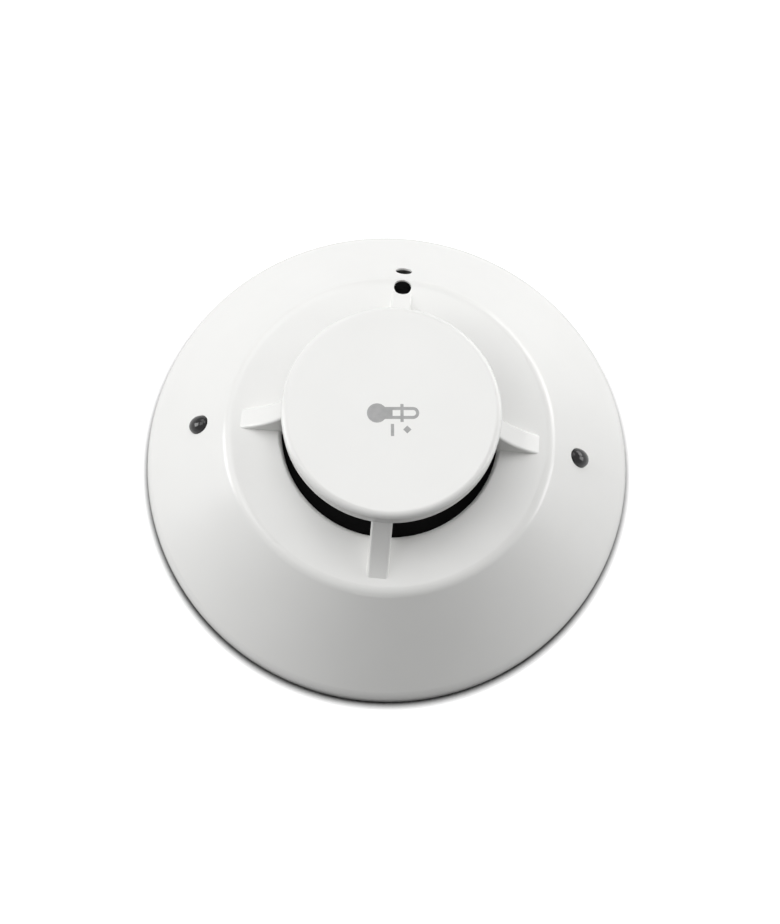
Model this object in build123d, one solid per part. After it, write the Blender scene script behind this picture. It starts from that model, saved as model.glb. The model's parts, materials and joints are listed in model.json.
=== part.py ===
from build123d import *

import os
from math import atan, degrees, sin

# A plug-in heat detector head on its twist-lock mounting base, in millimetres.
# The origin is the centre of the base's back face, the one that lies on the ceiling.
# +Z points from that face into the room, through the sensor cap.
# The cover's two service holes lie towards +Y and its two indicator windows on the X axis.

# ---------------------------------------------------------------- driving dimensions: shared
OVERLAP = 0.5                # how far a feature starts inside the one that it grows from
EDGE_ROUNDING = 0.5          # small moulded and drawn edges

# ---------------------------------------------------------------- driving dimensions: cover
COVER_RADIUS = 52.0
COVER_WALL = 2.0
SKIRT_WALL = 2.2
SKIRT_GAP = 0.8              # ceiling to the skirt's edge
RIM_HEIGHT = 5.0             # corner between the skirt and the cone
RIM_ROUNDING = 5.0
SHOULDER_RADIUS = 33.2       # corner between the cone and the flat collar
SHOULDER_HEIGHT = 25.0
SHOULDER_ROUNDING = 3.0
COLLAR_RISE = 0.6            # from the shoulder to the throat
THROAT_RADIUS = 22.0
THROAT_ROUNDING = 0.7

# ---------------------------------------------------------------- driving dimensions: cap and ribs
CAP_RADIUS = 21.5
CAP_THICKNESS = 4.7
CAP_EDGE_ROUNDING = 1.3
CAP_LOWER_ROUNDING = 0.3
CAP_POCKET_DEPTH = 2.5
AIR_GAP = 9.7                # throat edge to the cap's underside
RIB_WIDTH = 4.2
RIB_TOE_RADIUS = 30.5
RIB_SEAT = 2.4               # radial length of a rib's top, under the cap
RIB_INSET = 0.2              # cap's edge to the rib's head
RIB_BOW = 1.1                # how far the rib's top line hollows under its chord
RIB_EDGE_ROUNDING = 0.5
RIB_ROOT = 1.5               # how far the rib's root starts inside the throat
PEG_RADIUS = 0.8
PEG_LENGTH = 3.0

# ---------------------------------------------------------------- driving dimensions: holes in the cover
UPPER_HOLE_RADIUS = 1.75
UPPER_HOLE_PLACE = 37.0      # distance from the axis
LOWER_HOLE_RADIUS = 1.8
LOWER_HOLE_PLACE = 31.7
LOWER_HOLE_TILT = 17.0       # degrees from the axis, square to the rounded shoulder
HOLE_LIP = 0.4               # thickness of a service hole's edge, before it flares inside
HOLE_FLARE = 2.6             # growth of the flare's radius through the wall
GUIDE_RADIUS = 1.95
GUIDE_RECESS = 0.1
GUIDE_LIFT = 0.2             # above the indicator lamp
LED_RADIUS = 1.5
LED_HEIGHT = 1.7
LED_ROUNDING = 0.9
LED_EDGE = 1.4               # board's edge to the lamp's middle

# ---------------------------------------------------------------- driving dimensions: pictogram
MARK_DEPTH = 0.25
MARK_LINE = 0.62
MARK_BULB_RADIUS = 1.95
MARK_TUBE_RADIUS = 1.22
MARK_TUBE_LENGTH = 7.55      # bulb centre to the far end of the tube
MARK_FILL_LENGTH = 3.0
MARK_BULB_PLACE = (-2.8, -0.95)
MARK_TURN = 5.2              # the pictogram's own tilt, in degrees
MARK_BAR_PLACE = 4.83        # along the tube, from the bulb's centre
MARK_BAR_HALF = 1.82
MARK_DASH_PLACE = (2.96, -3.43)
MARK_SPOT_PLACE = (5.82, -3.33)
MARK_SPOT_RADIUS = 0.8

# ---------------------------------------------------------------- driving dimensions: base
BASE_MARGIN = 1.3            # skirt's inside to the base's edge
BASE_FLOOR = 2.4
BASE_RING_GAP = 0.6          # ring's outside to the cover's inside, at the ring's top
BASE_RING_WALL = 2.0
BASE_RING_TOP = 6.6
CABLE_ENTRY_RADIUS = 11.0
CABLE_COLLAR_WALL = 1.5
CABLE_COLLAR_HEIGHT = 1.4
FIXING_PLACE = 27.5          # slot's middle to the axis
FIXING_HOLE_RADIUS = 2.3
FIXING_SLOT_TRAVEL = 5.0     # between the centres of a slot's two ends
RELIEF_DEPTH = 0.8           # moulding pockets in the back face
RELIEF_INNER = 15.5
RELIEF_MARGIN = 5.0          # base's edge to the pockets
RELIEF_HALF_ANGLE = 32.0

# ---------------------------------------------------------------- driving dimensions: twist lock
LUG_HALF_ANGLE = 7.0
LUG_THICKNESS = 1.5
LEDGE_HALF_ANGLE = 8.5
LEDGE_THICKNESS = 1.4
LEDGE_REACH = 2.0
STOP_ANGLE = 1.5
STOP_STANDOFF = 0.5          # degrees between a ledge and its stop

# ---------------------------------------------------------------- driving dimensions: chassis and board
CHASSIS_CLEARANCE = 0.7
CHASSIS_LIFT = 1.0           # above the base's ring
CHASSIS_THICKNESS = 2.0
CHASSIS_RING_WALL = 2.0
BOARD_LIFT = 1.6
BOARD_THICKNESS = 1.6
BOARD_CLEARANCE = 0.83
BOSS_PLACE = 33.0
BOSS_RADIUS = 2.8
SCREW_RADIUS = 1.2
SCREW_HEAD_RADIUS = 2.3
SCREW_HEAD_HEIGHT = 1.6
SCREW_HEAD_SUNK = 1.2
SCREW_BITE = 5.0
SCREW_POINT = 1.0
SCREW_CROSS = (2.6, 0.6, 0.8)    # length, width and depth of each bar of its cross recess

# ---------------------------------------------------------------- driving dimensions: terminals
TERMINAL_ANGLES = (70.0, 110.0, 250.0, 290.0)
TERMINAL_INSET = 3.0         # chassis ring's inside to the pedestal
PEDESTAL_WIDTH = 8.0
PEDESTAL_LENGTH = 17.5
PEDESTAL_TOP = 4.4
STRIP_WIDTH = 6.0
STRIP_THICKNESS = 0.6
STRIP_WIPE_LENGTH = 6.0
STRIP_RAISE = 0.6
CLAMP_THICKNESS = 0.8
CLAMP_SIZE = 6.0
TERMINAL_SCREW_RADIUS = 1.4
TERMINAL_SCREW_TIP = 1.9     # height of its tip
TERMINAL_HEAD_RADIUS = 2.4
TERMINAL_HEAD_HEIGHT = 1.3
TERMINAL_SLOT_WIDTH = 0.7
TERMINAL_SLOT_DEPTH = 0.6
CLAMP_ROUNDING = 0.6
WIRE_GROOVE_RADIUS = 0.4
WIRE_GROOVE_OFFSET = 0.85    # screw's side to the groove's middle
STRIP_RAMP = 1.5             # radial length of the strip's bent parts
STRIP_MARGIN = 0.5           # pedestal's ends to the strip and the clamp
BLADE_WIDTH = 5.0
BLADE_THICKNESS = 0.6
BLADE_FLAT = 4.0             # radial length held against the chassis
BLADE_CRANK = 1.2
BLADE_GAP = 1.0              # terminal screw's head to the blade's inner end
BLADE_MARGIN = 1.5           # pedestal's outer end to the blade's outer end
RIVET_RADIUS = 0.8
RIVET_HEAD_RADIUS = 1.4
RIVET_HEAD_HEIGHT = 0.4
RIVET_INSET = 1.5            # from the blade's inner end
RIVET_PROUD = 0.6            # above the board

# ---------------------------------------------------------------- driving dimensions: sensing element
SHROUD_WALL = 1.2
SHROUD_GAP = 0.4
SHROUD_EDGE = 2.2            # board's edge to the shroud's edge
CAGE_RADIUS = 14.6
CAGE_WALL = 1.6
CAGE_SLOTS = 24
CAGE_SLOT_WIDTH = 2.1
CAGE_BAND = 1.3              # unslotted band at each end of the slots
PILLAR_RADIUS = 2.4
PILLAR_HEIGHT = 11.0
LEAD_RADIUS = 0.25
LEAD_SPACING = 1.6
BEAD_RADIUS = 1.3
BEAD_HEIGHT = 2.6

# ---------------------------------------------------------------- driving dimensions: address switches
SWITCH_SIZE = 7.4
SWITCH_PLACE = 5.5
SWITCH_PROUD = 0.6           # below the chassis
ROTOR_RADIUS = 2.6
ROTOR_PROUD = 0.7            # below the switch
ROTOR_SUNK = 1.3
ROTOR_SPINDLE_RADIUS = 0.8
ROTOR_SPINDLE_LENGTH = 1.6
ROTOR_SLOT = (4.0, 0.8, 0.7)     # length, width and depth
ROTOR_POINTER = (1.4, 0.5, 0.4)

# ---------------------------------------------------------------- driving dimensions: parts on the board
CHIP_PLACE = 24.0            # distance from the axis
CHIP_LEG_SPAN = 8.4
CHIP_LEG_HEIGHT = 0.4
CHIP_SIZE = 7.0
CHIP_HEIGHT = 1.5
BRIDGE_SIZE = (6.2, 4.6, 2.5)
BRIDGE_BEVEL = 0.4
CAN_PLACE = (-23.0, 5.0)
CAN_RADIUS = 2.5
CAN_HEIGHT = 6.0
REED_PLACE = 24.0
REED_RADIUS = 1.1
REED_LENGTH = 10.0
REED_HEIGHT = 1.6
REED_WIRE_RADIUS = 0.3
REED_WIRE_SPAN = 14.0
RESISTOR_SIZE = (2.0, 1.25, 0.6)
RESISTOR_PLACE = 20.0
RESISTOR_COUNT = 6
RESISTOR_START = 205.0       # degrees round the board
RESISTOR_STEP = 11.0

# ---------------------------------------------------------------- clearances
FIT = 0.05                   # radial, for pins, screws and guides
TURNING = 0.1                # radial, for the address rotors
APART = 0.3                  # between the head and the base

# ---------------------------------------------------------------- derived sizes
CONE_RUN = (SHOULDER_HEIGHT - RIM_HEIGHT) / (COVER_RADIUS - SHOULDER_RADIUS)
CONE_ANGLE = atan(CONE_RUN)
THROAT_HEIGHT = SHOULDER_HEIGHT + COLLAR_RISE
CAP_BOTTOM = THROAT_HEIGHT + AIR_GAP
CAP_TOP = CAP_BOTTOM + CAP_THICKNESS

BASE_RADIUS = COVER_RADIUS - SKIRT_WALL - BASE_MARGIN
RING_OUTER = (
    COVER_RADIUS - COVER_WALL / sin(CONE_ANGLE) - (BASE_RING_TOP - RIM_HEIGHT) / CONE_RUN - BASE_RING_GAP
)
RING_INNER = RING_OUTER - BASE_RING_WALL
LEDGE_INNER = RING_INNER - LEDGE_REACH
LEDGE_BOTTOM = BASE_RING_TOP - LEDGE_THICKNESS

CHASSIS_BOTTOM = BASE_RING_TOP + CHASSIS_LIFT
CHASSIS_TOP = CHASSIS_BOTTOM + CHASSIS_THICKNESS
CHASSIS_RING_OUTER = LEDGE_INNER - APART
CHASSIS_RING_INNER = CHASSIS_RING_OUTER - CHASSIS_RING_WALL
LUG_TOP = LEDGE_BOTTOM - APART
LUG_BOTTOM = LUG_TOP - LUG_THICKNESS
LUG_REACH = RING_INNER - APART

BOARD_BOTTOM = CHASSIS_TOP + BOARD_LIFT
BOARD_TOP = BOARD_BOTTOM + BOARD_THICKNESS

PEDESTAL_OUTER = CHASSIS_RING_INNER - TERMINAL_INSET
PEDESTAL_INNER = PEDESTAL_OUTER - PEDESTAL_LENGTH
WIPE_TOP = PEDESTAL_TOP + STRIP_THICKNESS + STRIP_RAISE
CLAMP_BOTTOM = PEDESTAL_TOP + STRIP_THICKNESS
CLAMP_PLACE = PEDESTAL_INNER + CLAMP_SIZE / 2 + STRIP_MARGIN
TERMINAL_HEAD_BOTTOM = CLAMP_BOTTOM + CLAMP_THICKNESS
BLADE_BOTTOM = WIPE_TOP + APART
BLADE_OUTER = PEDESTAL_OUTER - BLADE_MARGIN
BLADE_INNER = CLAMP_PLACE + TERMINAL_HEAD_RADIUS + BLADE_GAP
RIVET_PLACE = BLADE_INNER + RIVET_INSET

SWITCH_BOTTOM = CHASSIS_BOTTOM - SWITCH_PROUD
CAGE_TOP = CAP_BOTTOM + CAP_POCKET_DEPTH
SQUARE_ANGLES = tuple(90.0 * step for step in range(4))
DIAGONAL_ANGLES = tuple(45.0 + 90.0 * step for step in range(4))


# ---------------------------------------------------------------- helpers
def cone_radius(height, inset):
    """Radius of the cone's surface at a height, set in square to that surface."""
    return COVER_RADIUS - inset / sin(CONE_ANGLE) - (height - RIM_HEIGHT) / CONE_RUN


def cone_height(radius, inset):
    """Height of the cone's surface at a radius, set in square to that surface."""
    return RIM_HEIGHT + (COVER_RADIUS - inset / sin(CONE_ANGLE) - radius) * CONE_RUN


def collar_height(radius, inset):
    """Height of the collar round the throat at a radius, set down by an inset."""
    rise = COLLAR_RISE * (SHOULDER_RADIUS - radius) / (SHOULDER_RADIUS - THROAT_RADIUS)
    return SHOULDER_HEIGHT + rise - inset


def shoulder_corner(inset):
    """Corner where the set-in cone meets the set-down collar."""
    slope = COLLAR_RISE / (SHOULDER_RADIUS - THROAT_RADIUS)
    reach = COVER_RADIUS - inset / sin(CONE_ANGLE)
    level = SHOULDER_HEIGHT + slope * SHOULDER_RADIUS - inset
    radius = (RIM_HEIGHT + reach * CONE_RUN - level) / (CONE_RUN - slope)
    return radius, collar_height(radius, inset)


def turned(*corners):
    """Solid turned about Z from an outline of (radius, height, rounding) corners."""
    outline = Polyline(*[(radius, height) for radius, height, _ in corners], close=True)
    section = make_face(outline)
    for radius, height, rounding in corners:
        if rounding > 0:
            corner = section.vertices().sort_by_distance((radius, height, 0))[0]
            section = fillet(corner, rounding)
    return revolve(Plane.XZ * section, Axis.Z, 360)


def ring(outer, inner, bottom, top):
    """Plain ring about Z."""
    return turned((inner, bottom, 0), (outer, bottom, 0), (outer, top, 0), (inner, top, 0))


def ring_piece(outer, inner, bottom, top, middle, half_angle):
    """Piece of a ring, as wide as half_angle to each side of its middle angle."""
    section = make_face(Polyline((inner, bottom), (outer, bottom), (outer, top), (inner, top), close=True))
    piece = revolve(Plane.XZ * section, Axis.Z, 2 * half_angle)
    return Rot(0, 0, middle - half_angle) * piece


def rod(radius, bottom, top, x=0.0, y=0.0):
    """Upright cylinder between two heights."""
    return Pos(x, y, bottom) * extrude(Circle(radius), top - bottom)


def block(length, width, bottom, top, x=0.0, y=0.0):
    """Upright box between two heights."""
    return Pos(x, y, bottom) * extrude(Rectangle(length, width), top - bottom)


def at_angle(shape, angle):
    """Shape turned about Z."""
    return Rot(0, 0, angle) * shape


def side_profile(points, width):
    """Radial plate: an outline of (radius, height) points, as thick as width across Y."""
    return extrude(Plane.XZ * make_face(Polyline(*points, close=True)), width / 2, both=True)


def group(shapes):
    """Several separate solids kept in one node."""
    return Compound(children=list(shapes))


# ---------------------------------------------------------------- cover
def make_rib():
    """Hollow-curved rib that rises from the collar to carry the cap, with its upper edges rounded."""
    toe = Vector(RIB_TOE_RADIUS, collar_height(RIB_TOE_RADIUS, FIT))
    head = Vector(CAP_RADIUS - RIB_INSET, CAP_BOTTOM)
    chord = toe - head
    hollow = (toe + head) / 2 + Vector(chord.Y, -chord.X).normalized() * RIB_BOW
    sweep = ThreePointArc(toe, hollow, head)
    rest = Polyline(
        head,
        (head.X - RIB_SEAT, CAP_BOTTOM),
        (THROAT_RADIUS - RIB_ROOT, THROAT_HEIGHT - COVER_WALL),
        (RIB_TOE_RADIUS, collar_height(RIB_TOE_RADIUS, COVER_WALL / 2)),
        toe,
    )
    section = make_face(Curve() + [sweep, rest])
    rib = extrude(Plane.XZ * section, RIB_WIDTH / 2, both=True)
    return fillet(rib.edges().filter_by(GeomType.CIRCLE), RIB_EDGE_ROUNDING)


def make_cover():
    """White moulded cover: skirt, cone, rounded shoulder, collar, four ribs and four screw bosses."""
    inner_rim = RIM_HEIGHT + (SKIRT_WALL - COVER_WALL / sin(CONE_ANGLE)) * CONE_RUN
    inner_shoulder = shoulder_corner(COVER_WALL)
    cover = turned(
        (COVER_RADIUS - SKIRT_WALL, SKIRT_GAP, 0),
        (COVER_RADIUS, SKIRT_GAP, EDGE_ROUNDING),
        (COVER_RADIUS, RIM_HEIGHT, RIM_ROUNDING),
        (SHOULDER_RADIUS, SHOULDER_HEIGHT, SHOULDER_ROUNDING),
        (THROAT_RADIUS, THROAT_HEIGHT, THROAT_ROUNDING),
        (THROAT_RADIUS, THROAT_HEIGHT - COVER_WALL, 0),
        (inner_shoulder[0], inner_shoulder[1], SHOULDER_ROUNDING - COVER_WALL),
        (COVER_RADIUS - SKIRT_WALL, inner_rim, 0),
    )
    mid_shoulder = shoulder_corner(COVER_WALL / 2)
    under_skin = turned(
        (0, BOARD_TOP, 0),
        (cone_radius(BOARD_TOP, COVER_WALL / 2), BOARD_TOP, 0),
        (mid_shoulder[0], mid_shoulder[1], 0),
        (0, mid_shoulder[1], 0),
    )
    for angle in DIAGONAL_ANGLES:
        boss = rod(BOSS_RADIUS, BOARD_TOP, SHOULDER_HEIGHT, BOSS_PLACE) & under_skin
        boss -= rod(SCREW_RADIUS + FIT, BOARD_TOP - 1, BOARD_TOP + SCREW_BITE + APART, BOSS_PLACE)
        cover += at_angle(boss, angle)
    rib = make_rib() - rod(PEG_RADIUS + FIT, CAP_BOTTOM - PEG_LENGTH - APART, CAP_BOTTOM + 1, peg_place())
    for angle in SQUARE_ANGLES:
        cover += at_angle(rib, angle)
    for side in (0.0, 180.0):
        cover -= at_angle(rod(GUIDE_RADIUS + FIT, BOARD_TOP, SHOULDER_HEIGHT, guide_place()), side)
    for hole in service_holes():
        cover -= hole
    return cover


def peg_place():
    """Distance from the axis to the cap's pegs, in the middle of the ribs' tops."""
    return CAP_RADIUS - RIB_INSET - RIB_SEAT / 2


def guide_place():
    """Distance from the axis to the light guides, over the edge of the circuit board."""
    return board_radius() - LED_EDGE


def flared_hole(radius):
    """Cutter for a round hole whose thin lip lies at the origin's level, flared inwards behind it."""
    reach = 2 * COVER_WALL
    inside = -(COVER_WALL + HOLE_LIP)
    return turned(
        (0, reach, 0), (radius, reach, 0), (radius, -HOLE_LIP, 0),
        (radius + HOLE_FLARE, inside, 0), (0, inside, 0),
    )


def service_holes():
    """Cutters for the two round holes on the +Y side, each square to the surface that it pierces."""
    upper = Rot(0, degrees(CONE_ANGLE), 0) * flared_hole(UPPER_HOLE_RADIUS)
    upper = Pos(UPPER_HOLE_PLACE, 0, cone_height(UPPER_HOLE_PLACE, 0)) * upper
    lower = Rot(0, LOWER_HOLE_TILT, 0) * flared_hole(LOWER_HOLE_RADIUS)
    lower = Pos(LOWER_HOLE_PLACE, 0, collar_height(LOWER_HOLE_PLACE, 0)) * lower
    return at_angle(upper, 90), at_angle(lower, 90)


def make_cap():
    """White disc over the sensing element, hollow below, with four pegs that press into the ribs."""
    pocket = CAP_RADIUS - RIB_SEAT - 0.6
    cap = turned(
        (0, CAP_BOTTOM + CAP_POCKET_DEPTH, 0),
        (pocket, CAP_BOTTOM + CAP_POCKET_DEPTH, 0),
        (pocket, CAP_BOTTOM, 0),
        (CAP_RADIUS, CAP_BOTTOM, CAP_LOWER_ROUNDING),
        (CAP_RADIUS, CAP_TOP, CAP_EDGE_ROUNDING),
        (0, CAP_TOP, 0),
    )
    for angle in SQUARE_ANGLES:
        cap += at_angle(rod(PEG_RADIUS, CAP_BOTTOM - PEG_LENGTH, CAP_BOTTOM + 1, peg_place()), angle)
    return cap


def mark_regions():
    """Flat outlines of the thermometer pictogram, with its bulb at the origin and its tube along +X."""
    straight = MARK_TUBE_LENGTH - MARK_TUBE_RADIUS
    middle = Pos(MARK_TUBE_LENGTH / 2, 0)
    tube = middle * SlotCenterToCenter(straight, 2 * MARK_TUBE_RADIUS)
    inside = middle * SlotCenterToCenter(straight, 2 * (MARK_TUBE_RADIUS - MARK_LINE))
    filled = Pos(MARK_FILL_LENGTH / 2, 0) * Rectangle(MARK_FILL_LENGTH, 2 * MARK_TUBE_RADIUS)
    thermometer = (tube - inside) + filled + Circle(MARK_BULB_RADIUS)
    bar = Pos(MARK_BAR_PLACE, 0) * Rectangle(MARK_LINE, 2 * MARK_BAR_HALF)
    dash = Pos(*MARK_DASH_PLACE) * Rectangle(MARK_LINE, 2 * MARK_TUBE_RADIUS)
    spot = Pos(*MARK_SPOT_PLACE) * RegularPolygon(MARK_SPOT_RADIUS, 4)
    return [thermometer + bar, dash, spot]


def make_mark():
    """Grey pictogram let into the top of the cap, flush with it, as separate strokes."""
    bottom = Pos(*MARK_BULB_PLACE, CAP_TOP - MARK_DEPTH) * Rot(0, 0, MARK_TURN)
    return group([bottom * extrude(region, MARK_DEPTH) for region in mark_regions()])


# ---------------------------------------------------------------- base
def make_base():
    """White mounting base: floor, twist-lock ring with ledges and stops, pedestals, slots, cable entry."""
    base = ring(BASE_RADIUS, CABLE_ENTRY_RADIUS, 0, BASE_FLOOR)
    base += ring(RING_OUTER, RING_INNER, BASE_FLOOR - OVERLAP, BASE_RING_TOP)
    collar_outer = CABLE_ENTRY_RADIUS + CABLE_COLLAR_WALL
    base += ring(collar_outer, CABLE_ENTRY_RADIUS, BASE_FLOOR - OVERLAP, BASE_FLOOR + CABLE_COLLAR_HEIGHT)
    stop_middle = -(LEDGE_HALF_ANGLE + STOP_ANGLE / 2 + STOP_STANDOFF)
    for angle in SQUARE_ANGLES:
        ledge_outer = RING_INNER + OVERLAP
        base += ring_piece(ledge_outer, LEDGE_INNER, LEDGE_BOTTOM, BASE_RING_TOP, angle, LEDGE_HALF_ANGLE)
        base += ring_piece(
            ledge_outer, LEDGE_INNER, BASE_FLOOR - OVERLAP, BASE_RING_TOP, angle + stop_middle, STOP_ANGLE
        )
    for angle in TERMINAL_ANGLES:
        middle = (PEDESTAL_OUTER + PEDESTAL_INNER) / 2
        pedestal = block(PEDESTAL_LENGTH, PEDESTAL_WIDTH, BASE_FLOOR - OVERLAP, PEDESTAL_TOP, middle)
        base += at_angle(pedestal, angle)
        bore = rod(TERMINAL_SCREW_RADIUS + FIT, TERMINAL_SCREW_TIP - APART, PEDESTAL_TOP + 1, CLAMP_PLACE)
        base -= at_angle(bore, angle)
    for angle in DIAGONAL_ANGLES:
        relief_outer = BASE_RADIUS - RELIEF_MARGIN
        base -= ring_piece(relief_outer, RELIEF_INNER, -1, RELIEF_DEPTH, angle, RELIEF_HALF_ANGLE)
    slot = Pos(0, 0, -1) * extrude(
        SlotCenterToCenter(FIXING_SLOT_TRAVEL, 2 * FIXING_HOLE_RADIUS), BASE_FLOOR + 2
    )
    for side in (-1, 1):
        base -= Pos(side * FIXING_PLACE, 0, 0) * slot
    return base


def make_terminal_strip(angle):
    """Sprung terminal strip: flat under the clamp, raised where the head's blade wipes it."""
    start = PEDESTAL_INNER + STRIP_MARGIN
    wipe = PEDESTAL_OUTER - STRIP_WIPE_LENGTH
    end = PEDESTAL_OUTER - STRIP_MARGIN
    underside = [
        (start, PEDESTAL_TOP),
        (wipe - STRIP_RAMP, PEDESTAL_TOP),
        (wipe, PEDESTAL_TOP + STRIP_RAISE),
        (end - STRIP_RAMP, PEDESTAL_TOP + STRIP_RAISE),
        (end, PEDESTAL_TOP),
    ]
    upper_side = [(radius, height + STRIP_THICKNESS) for radius, height in reversed(underside)]
    strip = side_profile(underside + upper_side, STRIP_WIDTH)
    strip -= rod(TERMINAL_SCREW_RADIUS + FIT, 0, BASE_RING_TOP, CLAMP_PLACE)
    return at_angle(strip, angle)


def make_clamp(angle):
    """Square wire clamp under a terminal screw, with a groove for the wire on each side."""
    clamp = block(CLAMP_SIZE, CLAMP_SIZE, CLAMP_BOTTOM, TERMINAL_HEAD_BOTTOM, CLAMP_PLACE)
    clamp = fillet(clamp.edges().filter_by(Axis.Z), CLAMP_ROUNDING)
    for side in (-1, 1):
        groove = Pos(CLAMP_PLACE, side * (TERMINAL_SCREW_RADIUS + WIRE_GROOVE_OFFSET), CLAMP_BOTTOM)
        clamp -= groove * Rot(0, 90, 0) * extrude(Circle(WIRE_GROOVE_RADIUS), CLAMP_SIZE, both=True)
    clamp -= rod(TERMINAL_SCREW_RADIUS + FIT, CLAMP_BOTTOM - 1, TERMINAL_HEAD_BOTTOM + 1, CLAMP_PLACE)
    return at_angle(clamp, angle)


def make_terminal_screws():
    """Four slotted pan-head terminal screws."""
    top = TERMINAL_HEAD_BOTTOM + TERMINAL_HEAD_HEIGHT
    screw = turned(
        (0, TERMINAL_SCREW_TIP, 0), (TERMINAL_SCREW_RADIUS, TERMINAL_SCREW_TIP, 0),
        (TERMINAL_SCREW_RADIUS, TERMINAL_HEAD_BOTTOM, 0),
        (TERMINAL_HEAD_RADIUS, TERMINAL_HEAD_BOTTOM, 0),
        (TERMINAL_HEAD_RADIUS, top, EDGE_ROUNDING), (0, top, 0),
    )
    screw -= block(3 * TERMINAL_HEAD_RADIUS, TERMINAL_SLOT_WIDTH, top - TERMINAL_SLOT_DEPTH, top + 1)
    screw = Pos(CLAMP_PLACE, 0, 0) * screw
    return group([at_angle(screw, angle) for angle in TERMINAL_ANGLES])


# ---------------------------------------------------------------- head: chassis, blades and board
def make_chassis():
    """White rear moulding of the head, with its twist-lock lugs, board standoffs and switch windows."""
    chassis = turned(
        (0, CHASSIS_BOTTOM, 0),
        (cone_radius(CHASSIS_TOP, COVER_WALL) - CHASSIS_CLEARANCE, CHASSIS_BOTTOM, 0),
        (cone_radius(CHASSIS_TOP, COVER_WALL) - CHASSIS_CLEARANCE, CHASSIS_TOP, EDGE_ROUNDING),
        (0, CHASSIS_TOP, 0),
    )
    chassis += ring(CHASSIS_RING_OUTER, CHASSIS_RING_INNER, LUG_BOTTOM, CHASSIS_BOTTOM + OVERLAP)
    for angle in SQUARE_ANGLES:
        inner = CHASSIS_RING_OUTER - OVERLAP
        chassis += ring_piece(LUG_REACH, inner, LUG_BOTTOM, LUG_TOP, angle, LUG_HALF_ANGLE)
    for angle in DIAGONAL_ANGLES:
        chassis += at_angle(rod(BOSS_RADIUS, CHASSIS_TOP - OVERLAP, BOARD_BOTTOM, BOSS_PLACE), angle)
        hole = rod(SCREW_RADIUS + FIT, CHASSIS_BOTTOM - 1, BOARD_BOTTOM + 1, BOSS_PLACE)
        hole += rod(SCREW_HEAD_RADIUS + FIT, CHASSIS_BOTTOM - 1, CHASSIS_BOTTOM + SCREW_HEAD_SUNK, BOSS_PLACE)
        chassis -= at_angle(hole, angle)
    for angle in TERMINAL_ANGLES:
        chassis -= at_angle(rod(RIVET_RADIUS + FIT, CHASSIS_BOTTOM - 1, CHASSIS_TOP + 1, RIVET_PLACE), angle)
    window = SWITCH_SIZE + 2 * APART
    for side in (-1, 1):
        chassis -= block(window, window, CHASSIS_BOTTOM - 1, CHASSIS_TOP + 1, side * SWITCH_PLACE)
    return chassis


def make_chassis_screws():
    """Four thread-forming screws that hold the chassis and the board to the cover's bosses."""
    head_top = CHASSIS_BOTTOM + SCREW_HEAD_SUNK
    head_bottom = head_top - SCREW_HEAD_HEIGHT
    tip = BOARD_TOP + SCREW_BITE
    screw = turned(
        (0, head_bottom, 0), (SCREW_HEAD_RADIUS, head_bottom, 0.4), (SCREW_HEAD_RADIUS, head_top, 0),
        (SCREW_RADIUS, head_top, 0), (SCREW_RADIUS, tip - SCREW_POINT, 0),
        (SCREW_RADIUS / 2, tip, 0), (0, tip, 0),
    )
    length, width, depth = SCREW_CROSS
    for turn in (0, 90):
        screw -= at_angle(block(length, width, head_bottom - 1, head_bottom + depth), turn)
    screw = Pos(BOSS_PLACE, 0, 0) * screw
    return group([at_angle(screw, angle) for angle in DIAGONAL_ANGLES])


def make_blade(angle):
    """Contact blade under the chassis, cranked down to the base's terminal strip."""
    crank = BLADE_INNER + BLADE_FLAT
    underside = [
        (BLADE_INNER, CHASSIS_BOTTOM - BLADE_THICKNESS),
        (crank, CHASSIS_BOTTOM - BLADE_THICKNESS),
        (crank + BLADE_CRANK, BLADE_BOTTOM),
        (BLADE_OUTER, BLADE_BOTTOM),
    ]
    upper_side = [(radius, height + BLADE_THICKNESS) for radius, height in reversed(underside)]
    blade = side_profile(underside + upper_side, BLADE_WIDTH)
    blade -= rod(RIVET_RADIUS + FIT, BLADE_BOTTOM, CHASSIS_BOTTOM + 1, RIVET_PLACE)
    return at_angle(blade, angle)


def make_rivets():
    """Four headed contact pins from the blades through the chassis to the board."""
    head_top = CHASSIS_BOTTOM - BLADE_THICKNESS
    head_bottom = head_top - RIVET_HEAD_HEIGHT
    pin = rod(RIVET_HEAD_RADIUS, head_bottom, head_top)
    pin += rod(RIVET_RADIUS, head_bottom, BOARD_TOP + RIVET_PROUD)
    pin = Pos(RIVET_PLACE, 0, 0) * pin
    return group([at_angle(pin, angle) for angle in TERMINAL_ANGLES])


def board_radius():
    """Radius of the circuit board, from the cone's inside at the board's top."""
    return cone_radius(BOARD_TOP, COVER_WALL) - BOARD_CLEARANCE


def make_board():
    """Round circuit board with holes for the screws and the contact pins."""
    board = rod(board_radius(), BOARD_BOTTOM, BOARD_TOP)
    for angle in DIAGONAL_ANGLES:
        board -= at_angle(rod(SCREW_RADIUS + FIT, BOARD_BOTTOM - 1, BOARD_TOP + 1, BOSS_PLACE), angle)
    for angle in TERMINAL_ANGLES:
        board -= at_angle(rod(RIVET_RADIUS + FIT, BOARD_BOTTOM - 1, BOARD_TOP + 1, RIVET_PLACE), angle)
    return board


def make_led(side):
    """Round indicator lamp on the board's edge, under its light guide."""
    top = BOARD_TOP + LED_HEIGHT
    lamp = turned((0, BOARD_TOP, 0), (LED_RADIUS, BOARD_TOP, 0), (LED_RADIUS, top, LED_ROUNDING), (0, top, 0))
    return Pos(side * guide_place(), 0, 0) * lamp


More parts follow.
